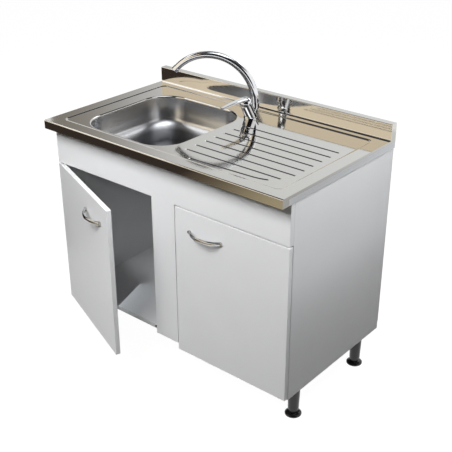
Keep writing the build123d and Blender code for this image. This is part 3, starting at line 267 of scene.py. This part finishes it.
# ---- Other materials ----------------------------------------------------------------------------
def plain_steel(name, tint, rough_low, rough_high, scale=90.0):
    """Bare metal with a faint grain of level lines."""
    s = Shader(name)
    s.set(Metallic=1.0)
    grain = s.noise(scale, stretch=(1.0, 1.0, 8.0))
    s.color(s.mix(grain, shaded(tint, 0.86), tint))
    s.roughness(s.spread(grain, rough_low, rough_high))
    s.bump(grain, strength=0.08, distance=0.0001)
    return s.material


def chrome():
    s = Shader("tap_chrome")
    s.set(Metallic=1.0)
    haze = s.noise(scale=30.0, detail=3.0)
    s.color(s.mix(haze, (0.80, 0.81, 0.83), (0.86, 0.87, 0.88)))
    s.roughness(s.spread(haze, 0.03, 0.06))
    return s.material


def laminate():
    """Smooth off-white melamine: a faint orange peel and a hardly visible print."""
    s = Shader("laminate")
    s.set(Specular_IOR_Level=0.45)
    tint = (0.82, 0.82, 0.825)
    peel = s.noise(scale=900.0, detail=2.0)
    cloud = s.noise(scale=7.0, detail=3.0)
    s.color(s.mix(s.spread(cloud), shaded(tint, 0.975), tint))
    s.roughness(s.spread(cloud, 0.38, 0.46))
    s.bump(peel, strength=0.10, distance=0.0002)
    return s.material


def moulded(name, tint, rough_low, rough_high, scale=600.0):
    """Plastic or rubber with a fine moulded grain."""
    s = Shader(name)
    grain = s.noise(scale, detail=3.0)
    s.color(s.mix(grain, shaded(tint, 0.85), tint))
    s.roughness(s.spread(grain, rough_low, rough_high))
    s.bump(grain, strength=0.15, distance=0.0002)
    return s.material


HARDBOARD_BACK_Y = (0.2965, 0.2975)


def hardboard():
    """White-faced hardboard: smooth inside, fibrous brown behind."""
    s = Shader("hardboard")
    y = s.xyz()[1]
    fibre = s.noise(scale=160.0, detail=6.0, stretch=(1.0, 1.0, 0.6))
    brown = s.mix(s.spread(fibre), (0.30, 0.21, 0.13), (0.42, 0.31, 0.20))
    s.color(s.mix(s.ramp(y, *HARDBOARD_BACK_Y), (0.60, 0.61, 0.61), brown))
    s.roughness(s.spread(fibre, 0.5, 0.75))
    s.bump(fibre, strength=0.2, distance=0.0004)
    return s.material


MATERIALS = {
    "sink_steel": sink_steel(),
    "waste_steel": plain_steel("waste_steel", (0.62, 0.615, 0.60), 0.14, 0.24),
    "waste_plastic": moulded("waste_plastic", (0.78, 0.78, 0.76), 0.4, 0.55),
    "seal_rubber": moulded("seal_rubber", (0.03, 0.03, 0.03), 0.6, 0.8),
    "laminate": laminate(),
    "hardboard": hardboard(),
    "block_plastic": moulded("block_plastic", (0.76, 0.75, 0.72), 0.4, 0.5),
    "leg_plastic": moulded("leg_plastic", (0.012, 0.012, 0.013), 0.16, 0.26, scale=300.0),
    "screw_steel": plain_steel("screw_steel", (0.58, 0.57, 0.55), 0.25, 0.4, scale=300.0),
    "hinge_steel": plain_steel("hinge_steel", (0.60, 0.585, 0.56), 0.2, 0.32, scale=200.0),
    "handle_metal": plain_steel("handle_metal", (0.60, 0.60, 0.60), 0.08, 0.14, scale=240.0),
    "tap_chrome": chrome(),
    "cartridge_plastic": moulded("cartridge_plastic", (0.68, 0.68, 0.66), 0.4, 0.5),
    "tap_brass": plain_steel("tap_brass", (0.70, 0.52, 0.24), 0.25, 0.4, scale=200.0),
}
for part in frame["record"]["subparts"]:
    obj = nodes[part["node"]]
    obj.data.materials.clear()
    obj.data.materials.append(MATERIALS[part["material_slot"]])


# ---- Floor --------------------------------------------------------------------------------------
FLOOR_REACH = 12.0
FLOOR_GLOW = 1.11
FLOOR_GLOW_SHARE = 0.88
FLOOR_BOUNCE = (0.06, 0.055, 0.045)


def stage_plane(name, corners, material):
    mesh = bpy.data.meshes.new(name)
    mesh.from_pydata(corners, [], [tuple(range(len(corners)))])
    obj = bpy.data.objects.new(name, mesh)
    scene.collection.objects.link(obj)
    mesh.materials.append(material)
    return obj


def level_corners(x, y, z):
    return [(x[0], y[0], z), (x[1], y[0], z), (x[1], y[1], z), (x[0], y[1], z)]


def floor_material():
    """Pale and nearly white to the eye and in reflections; it sends little light back up."""
    s = Shader("floor")
    s.set(Roughness=0.9, Specular_IOR_Level=0.1)
    pale = s.mix(s.noise(scale=2.0, detail=2.0), (0.93, 0.93, 0.93), (0.95, 0.95, 0.95))
    diffuse_ray = s.add("ShaderNodeLightPath").outputs["Is Diffuse Ray"]
    s.color(s.mix(diffuse_ray, pale, FLOOR_BOUNCE))
    glow = s.add("ShaderNodeEmission")
    glow.inputs["Strength"].default_value = FLOOR_GLOW
    blend = s.add("ShaderNodeMixShader")
    s.join(s.times(seen_directly(s.tree), FLOOR_GLOW_SHARE), blend.inputs["Fac"])
    s.join(s.bsdf.outputs["BSDF"], blend.inputs[1])
    s.join(glow.outputs["Emission"], blend.inputs[2])
    s.join(blend.outputs["Shader"], s.out.inputs["Surface"])
    return s.material


floor_span = (-FLOOR_REACH, FLOOR_REACH)
stage_plane("floor", level_corners(floor_span, floor_span, 0.0), floor_material())


# ---- Cards: what the metal reflects ------------------------------------------------------------
# They stand round the object and above it, where the photo's steel and chrome reflect such a tone.
def card(name, corners, start, end=None, axis="x"):
    """A studio card that only reflections see, shaded from start to end along one axis."""
    s = Shader(name)
    glow = s.add("ShaderNodeEmission")
    if end:
        index = "xyz".index(axis)
        low = min(corner[index] for corner in corners)
        high = max(corner[index] for corner in corners)
        along = s.ramp(s.xyz()[index], low, high, smooth=True)
        s.join(s.mix(along, start, end), glow.inputs["Color"])
    else:
        s.feed(glow.inputs["Color"], start)
    s.join(glow.outputs["Emission"], s.out.inputs["Surface"])
    obj = stage_plane(name, corners, s.material)
    obj.visible_camera = False
    obj.visible_diffuse = False
    obj.visible_shadow = False
    obj.visible_transmission = False
    return obj


def level_card(name, x, y, z, **shade):
    return card(name, level_corners(x, y, z), **shade)


# The upright cards stand in a ring round the sink top; elevations are seen from its height.
RING_RADIUS = 6.0
SINK_TOP_Z = 0.85


def standing_card(name, azimuths, elevations, **shade):
    """An upright card between two bearings and two elevations, in degrees."""
    bearings = [math.radians(azimuth) for azimuth in azimuths]
    feet = [(RING_RADIUS * math.cos(b), RING_RADIUS * math.sin(b)) for b in bearings]
    low, high = [SINK_TOP_Z + RING_RADIUS * math.tan(math.radians(e)) for e in elevations]
    corners = [(*feet[0], low), (*feet[1], low), (*feet[1], high), (*feet[0], high)]
    return card(name, corners, **shade)


BLACK = (0.012, 0.012, 0.014)
UMBER = (0.045, 0.034, 0.027)
CHARCOAL = (0.08, 0.08, 0.085)
BRONZE = (0.10, 0.075, 0.055)
SLATE = (0.27, 0.25, 0.22)
PEWTER = (0.45, 0.45, 0.44)
GOLD = (0.46, 0.39, 0.25)
SAND = (0.75, 0.67, 0.54)
NICKEL = (0.76, 0.77, 0.77)
SILVER = (0.78, 0.79, 0.79)
PEARL = (0.86, 0.88, 0.88)
BEIGE = (1.06, 0.93, 0.72)
SOFT_WHITE = (1.8, 1.8, 1.8)
COOL_WHITE = (1.9, 1.95, 2.0)
STRONG_WHITE = (2.4, 2.4, 2.4)

ON_FLOOR = 0.01
CEILING = 5.0
UNDER_CEILING = 4.9
FRONT_STRIP_Y = (-2.3, -0.7)
level_card("flag_floor_left", (-9.0, -1.15), (-9.0, 9.0), ON_FLOOR, start=UMBER)
level_card("reflector_floor_left", (-1.15, -0.45), FRONT_STRIP_Y, ON_FLOOR, start=BRONZE, end=GOLD)
level_card("reflector_floor_front", (-0.45, 0.6), FRONT_STRIP_Y, ON_FLOOR, start=GOLD)
level_card("flag_floor_right", (0.95, 4.5), (-4.5, 0.5), ON_FLOOR, start=BLACK)
level_card("reflector_floor_right", (0.95, 4.5), (0.95, 2.4), ON_FLOOR, start=PEWTER, end=NICKEL, axis="y")
level_card("flag_ceiling", (-5.0, 5.0), (-5.0, 5.0), CEILING, start=CHARCOAL)
level_card("softbox_rear", (-1.6, 1.8), (3.9, 7.5), UNDER_CEILING, start=STRONG_WHITE)
level_card("softbox_left", (-5.2, -3.35), (-2.3, 0.8), UNDER_CEILING, start=SOFT_WHITE)
level_card("softbox_above", (-0.55, 1.8), (-1.8, 1.8), UNDER_CEILING, start=COOL_WHITE)
level_card("reflector_ceiling", (-3.8, -2.8), (0.9, 2.4), UNDER_CEILING, start=SAND)
standing_card("reflector_front_left", (205, 268), (1, 60), start=BEIGE)
standing_card("flag_front_right", (268, 352), (1, 60), start=BLACK)
standing_card("flag_left", (150, 205), (-5, 45), start=BLACK)
standing_card("reflector_rear_left", (130, 147), (10, 33), start=SLATE, end=SILVER)
standing_card("reflector_rear", (112, 130), (10, 33), start=SILVER, end=PEARL)


# ---- Light --------------------------------------------------------------------------------------
WORLD_FILL = 0.11
DAYLIGHT = (0.96, 0.98, 1.0)
PALE_DAYLIGHT = (0.98, 0.99, 1.0)
SKYLIGHT = (0.90, 0.95, 1.0)


def make_world():
    """White to the eye and in reflections, and a weak cool fill on the object."""
    world = bpy.data.worlds.new("world")
    world.use_nodes = True
    tree = world.node_tree
    tree.nodes.clear()
    fill = tree.nodes.new("ShaderNodeBackground")
    fill.inputs["Color"].default_value = (0.97, 0.98, 1.0, 1)
    fill.inputs["Strength"].default_value = WORLD_FILL
    shown = tree.nodes.new("ShaderNodeBackground")
    shown.inputs["Color"].default_value = (1, 1, 1, 1)
    mix = tree.nodes.new("ShaderNodeMixShader")
    tree.links.new(seen_directly(tree), mix.inputs["Fac"])
    tree.links.new(fill.outputs["Background"], mix.inputs[1])
    tree.links.new(shown.outputs["Background"], mix.inputs[2])
    out = tree.nodes.new("ShaderNodeOutputWorld")
    tree.links.new(mix.outputs["Shader"], out.inputs["Surface"])
    return world


def area_light(name, place, target, size, power, color=(1, 1, 1)):
    """A rectangular lamp, in metres and watts, that no reflection shows."""
    data = bpy.data.lights.new(name, "AREA")
    data.shape = "RECTANGLE"
    data.size = size[0]
    data.size_y = size[1]
    data.energy = power
    data.color = color
    lamp = bpy.data.objects.new(name, data)
    scene.collection.objects.link(lamp)
    lamp.matrix_world = aimed(place, Vector(target) - Vector(place))
    lamp.visible_glossy = False
    lamp.visible_camera = False


scene.world = make_world()
area_light("key", (-0.1, -1.75, 2.35), (-0.1, -0.27, 0.7), size=(1.6, 1.0), power=66, color=PALE_DAYLIGHT)
area_light("top", (0.0, 0.3, 3.4), (0, 0, 0.8), size=(2.4, 1.6), power=22)
area_light("side", (1.25, 0.1, 2.0), (0.5, 0.0, 0.7), size=(0.9, 0.9), power=28, color=DAYLIGHT)

# Two weak lamps stand for the light that falls through the open left door.
area_light("inside_left", (-0.27, -0.2, 0.3), (0.2, -0.05, 0.3),
           size=(0.25, 0.25), power=0.16, color=SKYLIGHT)
area_light("inside_back", (-0.22, 0.02, 0.42), (-0.34, 0.29, 0.36),
           size=(0.2, 0.3), power=0.03, color=SKYLIGHT)

# A flag beside the worktop keeps the side light off the lower part of the side panel.
side_flag = level_card("side_flag", (0.82, 2.2), (-1.6, 1.6), 0.9, start=BLACK)
side_flag.visible_glossy = False
side_flag.visible_shadow = True
